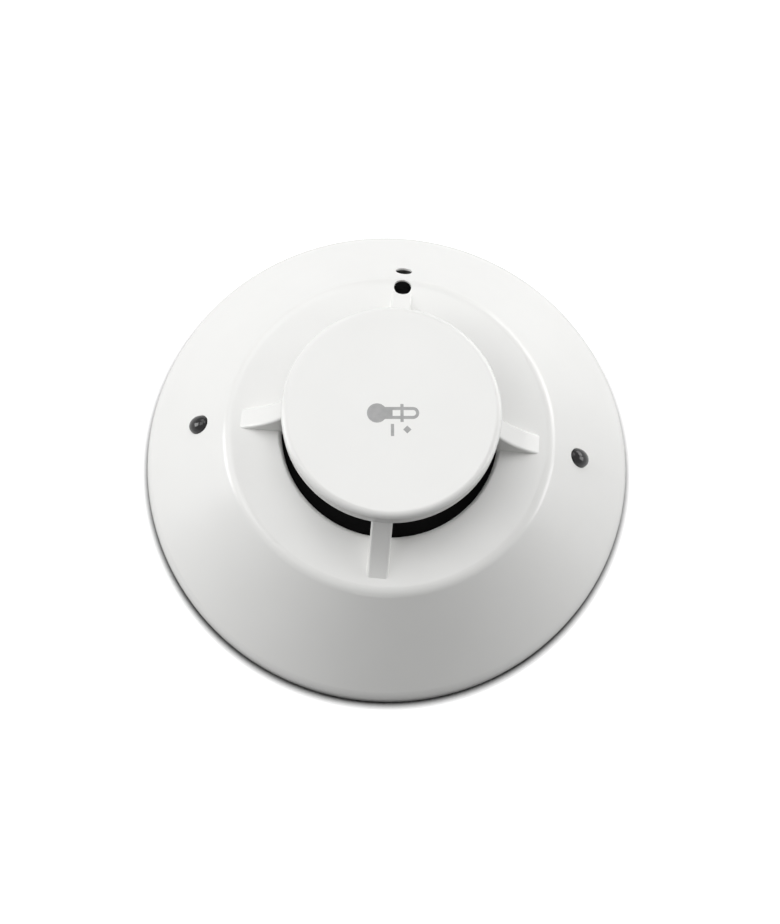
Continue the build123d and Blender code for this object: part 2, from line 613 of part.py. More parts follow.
def make_light_guide(side):
    """Smoked light guide that fills a window, cut to the slope of the cone."""
    bottom = BOARD_TOP + LED_HEIGHT + GUIDE_LIFT
    guide = rod(GUIDE_RADIUS, bottom, SHOULDER_HEIGHT, guide_place())
    guide &= turned(
        (0, bottom - 1, 0),
        (cone_radius(bottom - 1, GUIDE_RECESS), bottom - 1, 0),
        (cone_radius(SHOULDER_HEIGHT, GUIDE_RECESS), SHOULDER_HEIGHT, 0),
        (0, SHOULDER_HEIGHT, 0),
    )
    return at_angle(guide, 0 if side > 0 else 180)


# ---------------------------------------------------------------- head: sensing element
def make_shroud():
    """Black air guide: a skin under the cover, the chamber floor and the slotted cage."""
    outer = board_radius() - SHROUD_EDGE
    gap = COVER_WALL + SHROUD_GAP
    top_corner = shoulder_corner(gap)
    low_corner = shoulder_corner(gap + SHROUD_WALL)
    cage_inner = CAGE_RADIUS - CAGE_WALL
    throat = THROAT_RADIUS
    shroud = turned(
        (outer, cone_height(outer, gap + SHROUD_WALL), 0),
        (outer, cone_height(outer, gap), 0),
        (top_corner[0], top_corner[1], 0),
        (throat, collar_height(throat, gap), 0),
        (cage_inner, collar_height(throat, gap), 0),
        (cage_inner, collar_height(throat, gap + SHROUD_WALL), 0),
        (throat, collar_height(throat, gap + SHROUD_WALL), 0),
        (low_corner[0], low_corner[1], 0),
    )
    floor_top = collar_height(throat, gap)
    shroud += ring(CAGE_RADIUS, cage_inner, BOARD_TOP, CAGE_TOP)
    slot_bottom = floor_top + CAGE_BAND
    slot_top = CAP_BOTTOM - CAGE_BAND
    for step in range(CAGE_SLOTS):
        cutter = block(2 * CAGE_WALL, CAGE_SLOT_WIDTH, slot_bottom, slot_top, CAGE_RADIUS - CAGE_WALL / 2)
        shroud -= at_angle(cutter, (step + 0.5) * 360 / CAGE_SLOTS)
    for angle in DIAGONAL_ANGLES:
        shroud -= at_angle(rod(BOSS_RADIUS + SHROUD_GAP, BOARD_TOP, SHOULDER_HEIGHT, BOSS_PLACE), angle)
    for side in (0.0, 180.0):
        notch = rod(GUIDE_RADIUS + SHROUD_GAP, BOARD_TOP, SHOULDER_HEIGHT, guide_place())
        shroud -= at_angle(notch, side)
    return shroud


def make_pillar():
    """Insulating pillar that stands the thermistor's two leads up in the cage."""
    top = BOARD_TOP + PILLAR_HEIGHT
    pillar = turned((0, BOARD_TOP, 0), (PILLAR_RADIUS, BOARD_TOP, 0), (PILLAR_RADIUS, top, 0.6), (0, top, 0))
    for side in (-1, 1):
        pillar -= rod(LEAD_RADIUS + FIT, BOARD_TOP - 1, top + 1, side * LEAD_SPACING / 2)
    return pillar


def bead_bottom():
    """Height of the thermistor bead's underside, with the bead in the middle of the air gap."""
    return (THROAT_HEIGHT + CAP_BOTTOM) / 2 - BEAD_HEIGHT / 2


def make_leads():
    """The thermistor's two wire leads."""
    sides = (-1, 1)
    return group([rod(LEAD_RADIUS, BOARD_TOP, bead_bottom(), side * LEAD_SPACING / 2) for side in sides])


def make_bead():
    """Dipped thermistor bead."""
    low = bead_bottom()
    top = low + BEAD_HEIGHT
    return turned((0, low, 0), (BEAD_RADIUS, low, 0.2), (BEAD_RADIUS, top, 1.1), (0, top, 0))


# ---------------------------------------------------------------- head: components on the board
def make_microcontroller():
    """Square chip package with its gull-wing legs left as one low skirt."""
    legs = block(CHIP_LEG_SPAN, CHIP_LEG_SPAN, BOARD_TOP, BOARD_TOP + CHIP_LEG_HEIGHT, CHIP_PLACE)
    return legs + block(CHIP_SIZE, CHIP_SIZE, BOARD_TOP, BOARD_TOP + CHIP_HEIGHT, CHIP_PLACE)


def make_bridge_rectifier():
    """Small moulded bridge rectifier."""
    length, width, height = BRIDGE_SIZE
    body = block(length, width, BOARD_TOP, BOARD_TOP + height, 0, -CHIP_PLACE)
    return chamfer(body.faces().sort_by(Axis.Z)[-1].edges(), BRIDGE_BEVEL)


def make_capacitors():
    """Two electrolytic can capacitors."""
    top = BOARD_TOP + CAN_HEIGHT
    can = turned(
        (0, BOARD_TOP, 0), (CAN_RADIUS, BOARD_TOP, 0.2), (CAN_RADIUS, top, EDGE_ROUNDING), (0, top, 0),
    )
    x, y = CAN_PLACE
    return group([Pos(x, side * y, 0) * can for side in (-1, 1)])


def make_reed_switch():
    """Glass reed switch for the magnet test, with its two bent-down leads."""
    height = BOARD_TOP + REED_HEIGHT
    lying = Pos(0, REED_PLACE, height) * Rot(0, 90, 0)
    switch = lying * extrude(Circle(REED_RADIUS), REED_LENGTH / 2, both=True)
    switch += lying * extrude(Circle(REED_WIRE_RADIUS), REED_WIRE_SPAN / 2, both=True)
    for side in (-1, 1):
        bend = side * (REED_WIRE_SPAN / 2 - REED_WIRE_RADIUS)
        switch += rod(REED_WIRE_RADIUS, BOARD_TOP, height, bend, REED_PLACE)
    return switch


def make_resistors():
    """Chip resistors in an arc."""
    length, width, height = RESISTOR_SIZE
    chip = block(length, width, BOARD_TOP, BOARD_TOP + height, RESISTOR_PLACE)
    return group([at_angle(chip, RESISTOR_START + RESISTOR_STEP * step) for step in range(RESISTOR_COUNT)])


# ---------------------------------------------------------------- head: address switches
def make_switch(side):
    """Square body of a rotary address switch, under the board and showing through the chassis."""
    switch = block(SWITCH_SIZE, SWITCH_SIZE, SWITCH_BOTTOM, BOARD_BOTTOM)
    floor = SWITCH_BOTTOM + ROTOR_SUNK + TURNING
    switch -= rod(ROTOR_RADIUS + TURNING, SWITCH_BOTTOM - 1, floor)
    spindle_top = SWITCH_BOTTOM + ROTOR_SUNK + ROTOR_SPINDLE_LENGTH + TURNING
    switch -= rod(ROTOR_SPINDLE_RADIUS + TURNING, floor - 1, spindle_top)
    return Pos(side * SWITCH_PLACE, 0, 0) * switch


def make_rotor(side):
    """Rotor of an address switch, with a screwdriver slot and a pointer notch in its face."""
    face = SWITCH_BOTTOM - ROTOR_PROUD
    back = SWITCH_BOTTOM + ROTOR_SUNK
    rotor = turned((0, face, 0), (ROTOR_RADIUS, face, 0.3), (ROTOR_RADIUS, back, 0), (0, back, 0))
    rotor += rod(ROTOR_SPINDLE_RADIUS, back - OVERLAP, back + ROTOR_SPINDLE_LENGTH)
    length, width, depth = ROTOR_SLOT
    rotor -= block(length, width, face - 1, face + depth)
    length, width, depth = ROTOR_POINTER
    rotor -= block(length, width, face - 1, face + depth, ROTOR_RADIUS - width)
    return Pos(side * SWITCH_PLACE, 0, 0) * Rot(0, 0, 90) * rotor


# ---------------------------------------------------------------- all the pieces
def make_pieces():
    """Every physical piece, by node name."""
    mark = make_mark()
    pieces = {
        "front_cover": make_cover(),
        "sensor_cap": make_cap() - mark.solids(),
        "cap_pictogram": mark,
        "air_shroud": make_shroud(),
        "chassis": make_chassis(),
        "chassis_screws": make_chassis_screws(),
        "contact_rivets": make_rivets(),
        "circuit_board": make_board(),
        "microcontroller": make_microcontroller(),
        "bridge_rectifier": make_bridge_rectifier(),
        "can_capacitors": make_capacitors(),
        "reed_switch": make_reed_switch(),
        "chip_resistors": make_resistors(),
        "thermistor_pillar": make_pillar(),
        "thermistor_leads": make_leads(),
        "thermistor_bead": make_bead(),
        "mounting_base": make_base(),
        "terminal_screws": make_terminal_screws(),
    }
    for name, side in (("right", 1), ("left", -1)):
        pieces["indicator_led_" + name] = make_led(side)
        pieces["light_guide_" + name] = make_light_guide(side)
    for name, side in (("tens", -1), ("ones", 1)):
        pieces["address_switch_" + name] = make_switch(side)
        pieces["address_rotor_" + name] = make_rotor(side)
    for number, angle in enumerate(TERMINAL_ANGLES, start=1):
        pieces[f"terminal_strip_{number}"] = make_terminal_strip(angle)
        pieces[f"wire_clamp_{number}"] = make_clamp(angle)
        pieces[f"contact_blade_{number}"] = make_blade(angle)
    return pieces


os.makedirs("parts", exist_ok=True)
for node, shape in make_pieces().items():
    export_step(shape, f"parts/{node}.step")
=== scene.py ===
import json
import logging
import math
from dataclasses import dataclass
from enum import Enum

import bmesh
import bpy
from mathutils import Matrix, Vector


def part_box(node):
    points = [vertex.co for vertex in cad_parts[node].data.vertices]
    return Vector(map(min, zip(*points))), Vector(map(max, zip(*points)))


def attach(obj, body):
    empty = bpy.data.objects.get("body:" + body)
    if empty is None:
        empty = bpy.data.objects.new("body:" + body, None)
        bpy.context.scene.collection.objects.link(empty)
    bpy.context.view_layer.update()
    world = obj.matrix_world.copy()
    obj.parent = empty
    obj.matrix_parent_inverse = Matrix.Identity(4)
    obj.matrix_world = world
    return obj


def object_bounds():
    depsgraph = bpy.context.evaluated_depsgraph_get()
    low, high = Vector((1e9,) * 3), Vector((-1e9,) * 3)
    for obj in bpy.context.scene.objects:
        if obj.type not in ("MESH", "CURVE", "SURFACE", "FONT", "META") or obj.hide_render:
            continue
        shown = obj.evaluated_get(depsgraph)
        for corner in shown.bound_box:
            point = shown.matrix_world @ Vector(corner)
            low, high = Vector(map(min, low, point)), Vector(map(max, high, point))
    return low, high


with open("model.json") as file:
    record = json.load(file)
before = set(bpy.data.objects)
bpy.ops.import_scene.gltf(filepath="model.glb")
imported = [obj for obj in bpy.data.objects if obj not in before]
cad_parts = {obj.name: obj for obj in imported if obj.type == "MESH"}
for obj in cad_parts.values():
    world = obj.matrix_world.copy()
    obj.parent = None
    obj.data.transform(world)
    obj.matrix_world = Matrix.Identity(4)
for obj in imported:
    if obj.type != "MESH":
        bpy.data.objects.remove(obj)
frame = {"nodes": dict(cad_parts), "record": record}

CAD_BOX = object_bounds()
SLOT_OF = {part["node"]: part["material_slot"] for part in frame["record"]["subparts"]}
LOG = logging.getLogger("heat_detector")
MM = 0.001
QUARTERS = range(1, 5)
BLACK = (0.0, 0.0, 0.0, 1.0)
WHITE = (1.0, 1.0, 1.0, 1.0)


class Side(Enum):
    """The two sides of the detector that carry an indicator window."""

    LEFT = -1
    RIGHT = 1


# ---------------------------------------------------------------------------------------------
# Shader helpers
# ---------------------------------------------------------------------------------------------
def linear(hex_colour: str) -> tuple[float, float, float, float]:
    """Turns an sRGB hex colour into linear values.

    Args:
        hex_colour: Six hex digits, such as "F1F0ED".

    Returns:
        Linear red, green and blue, and an alpha of one.
    """
    parts = [int(hex_colour[i:i + 2], 16) / 255 for i in (0, 2, 4)]
    values = [p / 12.92 if p <= 0.04045 else ((p + 0.055) / 1.055) ** 2.4 for p in parts]
    return values[0], values[1], values[2], 1.0


def per_metre(size_mm: float) -> float:
    """Gives the texture scale of a feature of that size in millimetres."""
    return 1 / (size_mm * MM)


def add_node(tree: bpy.types.NodeTree, kind: str, inputs: dict[str | int, object] | None = None,
             settings: dict[str, object] | None = None, output: str | int = 0) -> bpy.types.NodeSocket:
    """Adds one shader node, with its values, links and settings.

    Args:
        tree: Node tree that takes the node.
        kind: Blender's name for the node type.
        inputs: Input names or numbers, each with a plain value or an output socket to link.
        settings: Attribute names and their values.
        output: Name or number of the output that is handed back.

    Returns:
        That output of the new node.
    """
    node = tree.nodes.new(kind)
    for name, value in (settings or {}).items():
        setattr(node, name, value)
    for name, value in (inputs or {}).items():
        socket = node.inputs[name]
        if isinstance(value, bpy.types.NodeSocket):
            tree.links.new(value, socket)
        else:
            socket.default_value = value
    return node.outputs[output]


def start_material(name: str) -> tuple[bpy.types.Material, bpy.types.Node, bpy.types.NodeSocket]:
    """Starts a material with one Principled shader and the piece's own coordinates.

    Args:
        name: The material's name.

    Returns:
        The material, its Principled node and the coordinates' socket, in metres.
    """
    material = bpy.data.materials.new(name)
    material.use_nodes = True
    tree = material.node_tree
    place = add_node(tree, "ShaderNodeTexCoord", output="Object")
    return material, tree.nodes["Principled BSDF"], place


# ---------------------------------------------------------------------------------------------
# Finishes
# ---------------------------------------------------------------------------------------------
@dataclass(frozen=True)
class MouldedPlastic:
    """Injection-moulded thermoplastic that takes the tool's satin, spark-eroded texture.

    Light spreads over a broad soft highlight, and the colour drifts a little where the melt flowed.
    """

    name: str
    colour: str
    drift: str
    roughness: float
    ior: float = 1.54
    specular: float = 0.5
    sheen_change: float = 0.025
    flow_mm: float = 20.0
    handled_mm: float = 7.0
    grain_mm: float = 0.45
    grain_depth_mm: float = 0.004
    sink_mm: float = 9.0
    sink_depth_mm: float = 0.02

    def build(self) -> bpy.types.Material:
        """Builds the material.

        Returns:
            The finished material.
        """
        material, shader, place = start_material(self.name)
        tree = material.node_tree
        shader.inputs["IOR"].default_value = self.ior
        shader.inputs["Specular IOR Level"].default_value = self.specular
        # The melt's flow leaves wide tone changes, and fingers leave smaller sheen changes.
        flow = add_node(tree, "ShaderNodeTexNoise", {
            "Vector": place, "Scale": per_metre(self.flow_mm), "Detail": 3.0})
        drifted = add_node(tree, "ShaderNodeMapRange", {0: flow, 1: 0.2, 2: 0.8, 3: 0.0, 4: 1.0})
        tone = add_node(tree, "ShaderNodeMix", {0: drifted, 6: linear(self.colour), 7: linear(self.drift)},
                        {"data_type": "RGBA"}, output=2)
        handled = add_node(tree, "ShaderNodeTexNoise", {
            "Vector": place, "Scale": per_metre(self.handled_mm), "Detail": 3.0})
        gloss = add_node(tree, "ShaderNodeMapRange", {
            0: handled, 1: 0.2, 2: 0.8, 3: self.roughness - self.sheen_change,
            4: self.roughness + self.sheen_change})
        sink = add_node(tree, "ShaderNodeTexNoise", {
            "Vector": place, "Scale": per_metre(self.sink_mm), "Detail": 1.0})
        soft = add_node(tree, "ShaderNodeBump", {"Height": sink, "Distance": self.sink_depth_mm * MM})
        # Spark erosion is about 0.05 mm across; it is drawn several times coarser so that it shows.
        grain = add_node(tree, "ShaderNodeTexNoise", {"Vector": place, "Scale": per_metre(self.grain_mm)})
        normal = add_node(tree, "ShaderNodeBump", {
            "Height": grain, "Distance": self.grain_depth_mm * MM, "Normal": soft})
        tree.links.new(tone, shader.inputs["Base Color"])
        tree.links.new(gloss, shader.inputs["Roughness"])
        tree.links.new(normal, shader.inputs["Normal"])
        return material


@dataclass(frozen=True)
class PadInk:
    """Pad-printed ink, a thin matte film that pools a little darker and breaks up in tiny specks."""

    name: str
    colour: str
    thin_colour: str
    roughness: float = 0.62
    ior: float = 1.48
    pool_mm: float = 1.3
    speck_mm: float = 0.25
    speck_depth_mm: float = 0.006

    def build(self) -> bpy.types.Material:
        """Builds the material.

        Returns:
            The finished material.
        """
        material, shader, place = start_material(self.name)
        tree = material.node_tree
        shader.inputs["IOR"].default_value = self.ior
        shader.inputs["Roughness"].default_value = self.roughness
        pooled = add_node(tree, "ShaderNodeTexNoise", {
            "Vector": place, "Scale": per_metre(self.pool_mm), "Detail": 3.0})
        thinned = add_node(tree, "ShaderNodeMapRange", {0: pooled, 1: 0.35, 2: 0.65, 3: 0.0, 4: 0.7})
        ink = add_node(tree, "ShaderNodeMix", {
            0: thinned, 6: linear(self.colour), 7: linear(self.thin_colour)}, {"data_type": "RGBA"}, output=2)
        # Real specks are under 0.1 mm; they are drawn a few times coarser so that they show.
        specks = add_node(tree, "ShaderNodeTexNoise", {
            "Vector": place, "Scale": per_metre(self.speck_mm), "Detail": 1.0})
        normal = add_node(tree, "ShaderNodeBump", {"Height": specks, "Distance": self.speck_depth_mm * MM})
        tree.links.new(ink, shader.inputs["Base Color"])
        tree.links.new(normal, shader.inputs["Normal"])
        return material


@dataclass(frozen=True)
class ClearResin:
    """Polished or cast resin or glass: a dark or tinted body under a sharp reflection."""

    name: str
    colour: str
    depth_colour: str
    roughness: float
    ior: float
    specular: float = 0.5
    transmission: float = 0.0
    cloud_mm: float = 1.4
    clouded_gloss: float = 1.6
    ripple_mm: float = 0.9
    ripple_depth_mm: float = 0.01

    def build(self) -> bpy.types.Material:
        """Builds the material.

        Returns:
            The finished material.
        """
        material, shader, place = start_material(self.name)
        tree = material.node_tree
        shader.inputs["IOR"].default_value = self.ior
        shader.inputs["Specular IOR Level"].default_value = self.specular
        shader.inputs["Transmission Weight"].default_value = self.transmission
        clouds = add_node(tree, "ShaderNodeTexNoise", {"Vector": place, "Scale": per_metre(self.cloud_mm)})
        depth = add_node(tree, "ShaderNodeMapRange", {0: clouds, 1: 0.35, 2: 0.65, 3: 0.0, 4: 1.0})
        body = add_node(tree, "ShaderNodeMix", {
            0: depth, 6: linear(self.colour), 7: linear(self.depth_colour)}, {"data_type": "RGBA"}, output=2)
        gloss = add_node(tree, "ShaderNodeMapRange", {
            0: clouds, 1: 0.35, 2: 0.65, 3: self.roughness, 4: self.roughness * self.clouded_gloss})
        ripple = add_node(tree, "ShaderNodeTexNoise", {
            "Vector": place, "Scale": per_metre(self.ripple_mm), "Detail": 1.0})
        normal = add_node(tree, "ShaderNodeBump", {"Height": ripple, "Distance": self.ripple_depth_mm * MM})
        tree.links.new(body, shader.inputs["Base Color"])
        tree.links.new(gloss, shader.inputs["Roughness"])
        tree.links.new(normal, shader.inputs["Normal"])
        return material


@dataclass(frozen=True)
class RolledMetal:
    """Rolled, drawn or turned metal with fine lines along one direction and dull patches of handling."""

    name: str
    colour: str
    tarnish: str
    roughness: float
    tarnish_dulls: float = 0.12
    patch_mm: float = 3.5
    line_mm: float = 0.48
    line_length: float = 12.0
    line_depth_mm: float = 0.003

    def build(self) -> bpy.types.Material:
        """Builds the material.

        Returns:
            The finished material.
        """
        material, shader, place = start_material(self.name)
        tree = material.node_tree
        shader.inputs["Metallic"].default_value = 1.0
        patches = add_node(tree, "ShaderNodeTexNoise", {
            "Vector": place, "Scale": per_metre(self.patch_mm), "Detail": 3.0})
        dulled = add_node(tree, "ShaderNodeMapRange", {0: patches, 1: 0.35, 2: 0.65, 3: 0.0, 4: 1.0})
        tone = add_node(tree, "ShaderNodeMix", {
            0: dulled, 6: linear(self.colour), 7: linear(self.tarnish)}, {"data_type": "RGBA"}, output=2)
        gloss = add_node(tree, "ShaderNodeMapRange", {
            0: patches, 1: 0.35, 2: 0.65, 3: self.roughness, 4: self.roughness + self.tarnish_dulls})
        # Rolling lines are hundredths of a millimetre apart; they are drawn far coarser so that they show.
        along = add_node(tree, "ShaderNodeMapping", {"Vector": place, "Scale": (1.0, self.line_length, 1.0)})
        lines = add_node(tree, "ShaderNodeTexNoise", {"Vector": along, "Scale": per_metre(self.line_mm)})
        normal = add_node(tree, "ShaderNodeBump", {"Height": lines, "Distance": self.line_depth_mm * MM})
        tree.links.new(tone, shader.inputs["Base Color"])
        tree.links.new(gloss, shader.inputs["Roughness"])
        tree.links.new(normal, shader.inputs["Normal"])
        return material


@dataclass(frozen=True)
class SolderMask:
    """Glass-fibre circuit laminate under solder mask, with copper tracks raised below it."""

    name: str
    mask: str
    over_copper: str
    roughness: float = 0.3
    ior: float = 1.55
    cell_mm: float = 5.2
    track_depth_mm: float = 0.035
    weave_mm: float = 0.5
    weave_depth_mm: float = 0.006

    def build(self) -> bpy.types.Material:
        """Builds the material.

        Returns:
            The finished material.
        """
        material, shader, place = start_material(self.name)
        tree = material.node_tree
        shader.inputs["IOR"].default_value = self.ior
        shader.inputs["Roughness"].default_value = self.roughness
        cells = add_node(tree, "ShaderNodeTexVoronoi", {
            "Vector": place, "Scale": per_metre(self.cell_mm), "Randomness": 0.35},
            {"feature": "DISTANCE_TO_EDGE"}, output="Distance")
        tracks = add_node(tree, "ShaderNodeMapRange", {0: cells, 1: 0.05, 2: 0.07, 3: 1.0, 4: 0.0})
        body = add_node(tree, "ShaderNodeMix", {
            0: tracks, 6: linear(self.mask), 7: linear(self.over_copper)}, {"data_type": "RGBA"}, output=2)
        raised = add_node(tree, "ShaderNodeBump", {"Height": tracks, "Distance": self.track_depth_mm * MM})
        weave = add_node(tree, "ShaderNodeTexNoise", {
            "Vector": place, "Scale": per_metre(self.weave_mm), "Detail": 1.0})
        normal = add_node(tree, "ShaderNodeBump", {
            "Height": weave, "Distance": self.weave_depth_mm * MM, "Normal": raised})
        tree.links.new(body, shader.inputs["Base Color"])
        tree.links.new(normal, shader.inputs["Normal"])
        return material


class Finishes:
    """Every finish of the detector, each built once, by the record's slot."""

    def __init__(self) -> None:
        """Builds the materials."""
        # Fine satin moulding gives a clean neutral white with broad, soft highlights.
        satin_white = MouldedPlastic("ABS, injection moulded, satin white", "F2F2F0", "EEEEEC", 0.25)
        # The rear mouldings come from a plainer tool, so they are duller and a touch warmer.
        dull_white = MouldedPlastic("ABS, injection moulded, dull white", "EAEAE5", "E3E3DD", 0.48)
        # Glass-filled black resin, set darker and less reflective than moulded black, so the shroud paints
        # the deep shade of the air gap over its own black.
        black = MouldedPlastic("Polycarbonate, injection moulded, matte black", "050505", "030303", 0.8,
                               ior=1.58, specular=0.1, sheen_change=0.04)
        # Pigmented PBT gives the switch bodies an even, saturated blue with a low sheen.
        blue = MouldedPlastic("PBT, injection moulded, blue", "1E3A7A", "1A3068", 0.45,
                              ior=1.55, sheen_change=0.05, grain_mm=0.3)
        # Unfilled nylon looks creamy, slightly waxy and a little uneven.
        ivory = MouldedPlastic("Nylon, injection moulded, ivory", "E6E2D2", "DAD5C2", 0.42,
                               ior=1.53, sheen_change=0.05, grain_mm=0.3)
        # Transfer-moulded chip bodies are a flat charcoal with a fine, dry grain.
        chip = MouldedPlastic("Epoxy mould compound, black", "1B1B1C", "131314", 0.55,
                              ior=1.55, sheen_change=0.05, grain_mm=0.2)
        # The glaze on a chip resistor is thin and dark, with a soft shine.
        ceramic = MouldedPlastic("Alumina chip, glazed black", "17171A", "0E0E10", 0.4,
                                 ior=1.6, sheen_change=0.05, grain_mm=0.2)
        # A thin screen-printed film over the disc: mid grey, matte, faintly patchy.
        ink = PadInk("Pad-printed ink, matte grey", "A6A6A6", "B4B4B4")
        # Tumbled zinc is pale and cool, between bright and satin.
        zinc = RolledMetal("Steel, zinc plated, tumbled", "C9CCCB", "AEB2B0", 0.24)
        # Rolled bronze strip is warm and brownish, with lines along its length.
        bronze = RolledMetal("Phosphor bronze, rolled strip", "C99A66", "AF7F50", 0.26)
        # Tin over brass stays pale and slightly yellow, with a soft gleam.
        tin = RolledMetal("Brass, tin plated, turned", "CFCCC2", "B5B1A6", 0.22)
        # Tinned wire is drawn smooth, so it gleams a little more than the plated parts.
        wire = RolledMetal("Copper wire, tinned, drawn", "D2D2CE", "BDBDB8", 0.2)
        # A drawn capacitor can is cold, light grey and finely lined.
        can = RolledMetal("Aluminium can, drawn", "D5D6D8", "BEC0C3", 0.25)
        # Green mask reads darker over bare laminate and lighter over the copper tracks.
        laminate = SolderMask("FR4 laminate, screen-printed green solder mask", "1F5B34", "2F7A46")
        # Fire-polished glass is nearly colourless, with crisp reflections along the tube.
        glass = ClearResin("Glass tube, fire polished", "DFE8E4", "CFDAD5", 0.04, 1.5,
                           transmission=0.85, cloud_mm=3.0)
        # The dip runs into a rounded, wet-looking dark bead.
        dipped = ClearResin("Epoxy, dipped, dark blue", "14202B", "0C151D", 0.12, 1.56)
        # A cast lens is deep red with a sharp highlight.
        red_lens = ClearResin("Epoxy lens, cast, red", "8E1410", "6A0C0A", 0.1, 1.54)
        # Smoked polycarbonate shows a near-black body and a small clean reflection of the room.
        smoked = ClearResin("Polycarbonate, polished, smoked", "0A0A0B", "040405", 0.1, 1.585, specular=0.3)
        rotor = ivory.build()
        self.by_slot = {
            "white_cover_plastic": satin_white.build(),
            "white_chassis_plastic": dull_white.build(),
            "black_plastic": black.build(),
            "switch_plastic": blue.build(),
            "pillar_nylon": rotor,
            "rotor_plastic": rotor,
            "black_epoxy": chip.build(),
            "chip_ceramic": ceramic.build(),
            "grey_ink": ink.build(),
            "zinc_plated_steel": zinc.build(),
            "phosphor_bronze": bronze.build(),
            "tinned_brass": tin.build(),
            "tinned_wire": wire.build(),
            "aluminium_can": can.build(),
            "green_circuit_board": laminate.build(),
            "clear_glass": glass.build(),
            "dipped_epoxy": dipped.build(),
            "red_led_lens": red_lens.build(),
            "smoked_polycarbonate": smoked.build(),
        }


# ---------------------------------------------------------------------------------------------
# Window lenses
# ---------------------------------------------------------------------------------------------
@dataclass(frozen=True)
class WindowLens:
    """Polished dome that stands out of an indicator window, over its light guide."""

    side: Side
    dome_mm: float = 1.4
    margin_mm: float = 0.03
    rings: int = 16
    segments: int = 56
    body: str = "head"
    slot: str = "smoked_polycarbonate"

    def build(self, finishes: Finishes) -> bpy.types.Object:
        """Builds the dome on the sloping top of its guide.

        Args:
            finishes: The detector's finishes.

        Returns:
            The dome.
        """
        name = "window_lens_" + self.side.name.lower()
        data = bpy.data.meshes.new(name)
        mesh = self.dome_mesh()
        mesh.to_mesh(data)
        mesh.free()
        for polygon in data.polygons:
            polygon.use_smooth = True
        data.materials.append(finishes.by_slot[self.slot])
        piece = bpy.data.objects.new(name, data)
        bpy.context.scene.collection.objects.link(piece)
        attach(piece, self.body)
        LOG.info("built %s on %s with %d faces", name, self.body, len(data.polygons))
        return piece

    def dome_mesh(self) -> bmesh.types.BMesh:
        """Models the closed dome, a half ellipsoid on a short skirt.

        Returns:
            The mesh, in metres in the row's frame.
        """
        guide = "light_guide_" + self.side.name.lower()
        low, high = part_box(guide)
        middle = (low + high) / 2
        radius = (high.y - low.y) / 2 - self.margin_mm * MM
        outward = Vector((self.side.value, 0, 0))
        drop = self.slope(guide, low, high)
        normal = (outward * drop + Vector((0, 0, 1))).normalized()
        seat = Vector((middle.x, middle.y, high.z - drop * (high.x - low.x) / 2))
        mesh = bmesh.new()
        loops = []
        for ring in range(self.rings + 1):
            share = math.sin(math.pi / 2 * ring / self.rings)
            lift = self.dome_mm * MM * math.sqrt(max(0.0, 1 - share ** 2))
            loop = []
            for step in range(1 if ring == 0 else self.segments):
                angle = math.tau * step / self.segments
                across = Vector((math.cos(angle), math.sin(angle), 0)) * radius * share
                across.z = -drop * across.dot(outward)
                loop.append(mesh.verts.new(seat + across + normal * lift))
            loops.append(loop)
        sunk = Vector((0, 0, self.margin_mm * MM))
        skirt = [mesh.verts.new(vertex.co - sunk) for vertex in loops[-1]]
        for step in range(self.segments):
            after = (step + 1) % self.segments
            mesh.faces.new((loops[0][0], loops[1][step], loops[1][after]))
            for inner, outer in zip(loops[1:], loops[2:] + [skirt]):
                mesh.faces.new((inner[step], outer[step], outer[after], inner[after]))
        mesh.faces.new(reversed(skirt))
        bmesh.ops.recalc_face_normals(mesh, faces=mesh.faces)
        return mesh

    def slope(self, guide: str, low: Vector, high: Vector) -> float:
        """Measures how much the guide's top drops for each unit outwards.

        Args:
            guide: Name of the guide's node.
            low: The guide's lowest corner.
            high: The guide's highest corner.

        Returns:
            The drop, as a plain ratio.
        """
        edge = high.x if self.side is Side.RIGHT else low.x
        corners = frame["nodes"][guide].data.vertices
        outer = [corner.co.z for corner in corners if abs(corner.co.x - edge) < self.margin_mm * MM]
        return (high.z - max(outer)) / (high.x - low.x)


# ---------------------------------------------------------------------------------------------
# Sub-assemblies
# ---------------------------------------------------------------------------------------------
@dataclass(frozen=True)
class SubAssembly:
    """Pieces that are fitted as one unit and dressed together."""

    nodes: tuple[str, ...] = ()

    def build(self, finishes: Finishes) -> None:
        """Gives each piece the finish of its slot in the record.

        Args:
            finishes: The detector's finishes.
        """
        for name in self.nodes:
            materials = frame["nodes"][name].data.materials
            materials.clear()
            materials.append(finishes.by_slot[SLOT_OF[name]])
            LOG.info("%s: dressed %s as %s", type(self).__name__, name, SLOT_OF[name])


@dataclass(frozen=True)
class Cover(SubAssembly):
    """White front: the ribbed cone, the disc with its mark, and the two indicator windows."""

    nodes: tuple[str, ...] = ("front_cover", "sensor_cap", "cap_pictogram", "light_guide_left",
                              "light_guide_right")

    def build(self, finishes: Finishes) -> None:
        """Dresses the front and sets a lens on each light guide.

        Args:
            finishes: The detector's finishes.
        """
        super().build(finishes)
        for side in Side:
            WindowLens(side).build(finishes)


@dataclass(frozen=True)
class SensingElement(SubAssembly):
    """Heat sensor in its slotted black cage, seen through the air gap."""

    nodes: tuple[str, ...] = ("air_shroud", "thermistor_pillar", "thermistor_leads", "thermistor_bead")


@dataclass(frozen=True)
class Electronics(SubAssembly):
    """Circuit board with what is soldered to it."""

    nodes: tuple[str, ...] = ("circuit_board", "microcontroller", "bridge_rectifier", "can_capacitors",
                              "reed_switch", "chip_resistors", "indicator_led_left", "indicator_led_right")


@dataclass(frozen=True)
class AddressSwitches(SubAssembly):
    """Two ten-way switches, each with its turning rotor."""

    nodes: tuple[str, ...] = ("address_switch_tens", "address_rotor_tens", "address_switch_ones",
                              "address_rotor_ones")


@dataclass(frozen=True)
class RearChassis(SubAssembly):
    """Rear moulding with its screws, contact blades and rivets."""

    nodes: tuple[str, ...] = ("chassis", "chassis_screws", "contact_rivets",
                              *(f"contact_blade_{number}" for number in QUARTERS))


